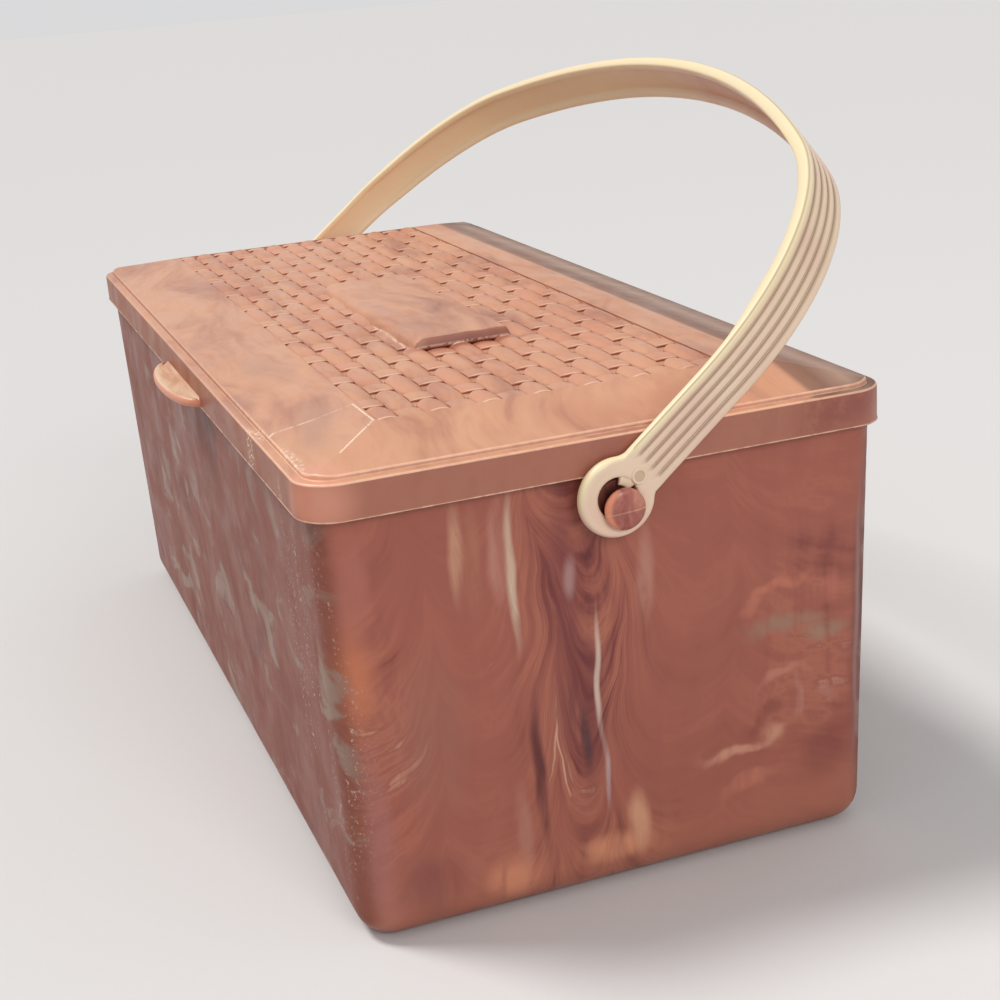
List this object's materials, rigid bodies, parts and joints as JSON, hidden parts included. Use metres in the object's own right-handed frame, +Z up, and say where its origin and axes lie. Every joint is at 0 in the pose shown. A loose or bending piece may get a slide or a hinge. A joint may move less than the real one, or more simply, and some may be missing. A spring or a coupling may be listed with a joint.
{
  "type": "sewing caddy",
  "caption": "Rectangular moulded plastic sewing caddy with a hinged woven-pattern lid, a swinging strap handle and a lift-out tray.",
  "frame": {"origin": "middle of the tub's flat underside", "axes": "+X along the box towards the near handle stud, -Y out of the front with the thumb tab, +Z up"},
  "size_m": [0.3428, 0.1968, 0.2019],
  "materials": {
    "marbled_plastic": "satin, marbled in copper, wine and cream",
    "handle_plastic": "satin",
    "tray_plastic": "satin",
    "pin_steel": "drawn wire"
  },
  "bodies": {
    "body": {"tub": "marbled_plastic", "hinge_pin_left": "pin_steel", "hinge_pin_right": "pin_steel", "handle_stud_near": "marbled_plastic", "handle_stud_far": "marbled_plastic"},
    "lid": {"lid": "marbled_plastic"},
    "handle": {"handle": "handle_plastic"},
    "tray": {"tray": "tray_plastic"}
  },
  "joints": [
    {"name": "lid_hinge", "type": "hinge", "parent": "body", "child": "lid", "pos_m": [0, 0.0823, 0.1164], "axis": [-1, 0, 0], "range_deg": [0, 4]},
    {"name": "handle_swing", "type": "hinge", "parent": "body", "child": "handle", "pos_m": [0, 0, 0.1098], "axis": [1, 0, 0], "range_deg": [-2.5, 90]},
    {"name": "tray_lift", "type": "slide", "parent": "body", "child": "tray", "axis": [0, 0, 1], "range_m": [0, 0.008]}
  ]
}
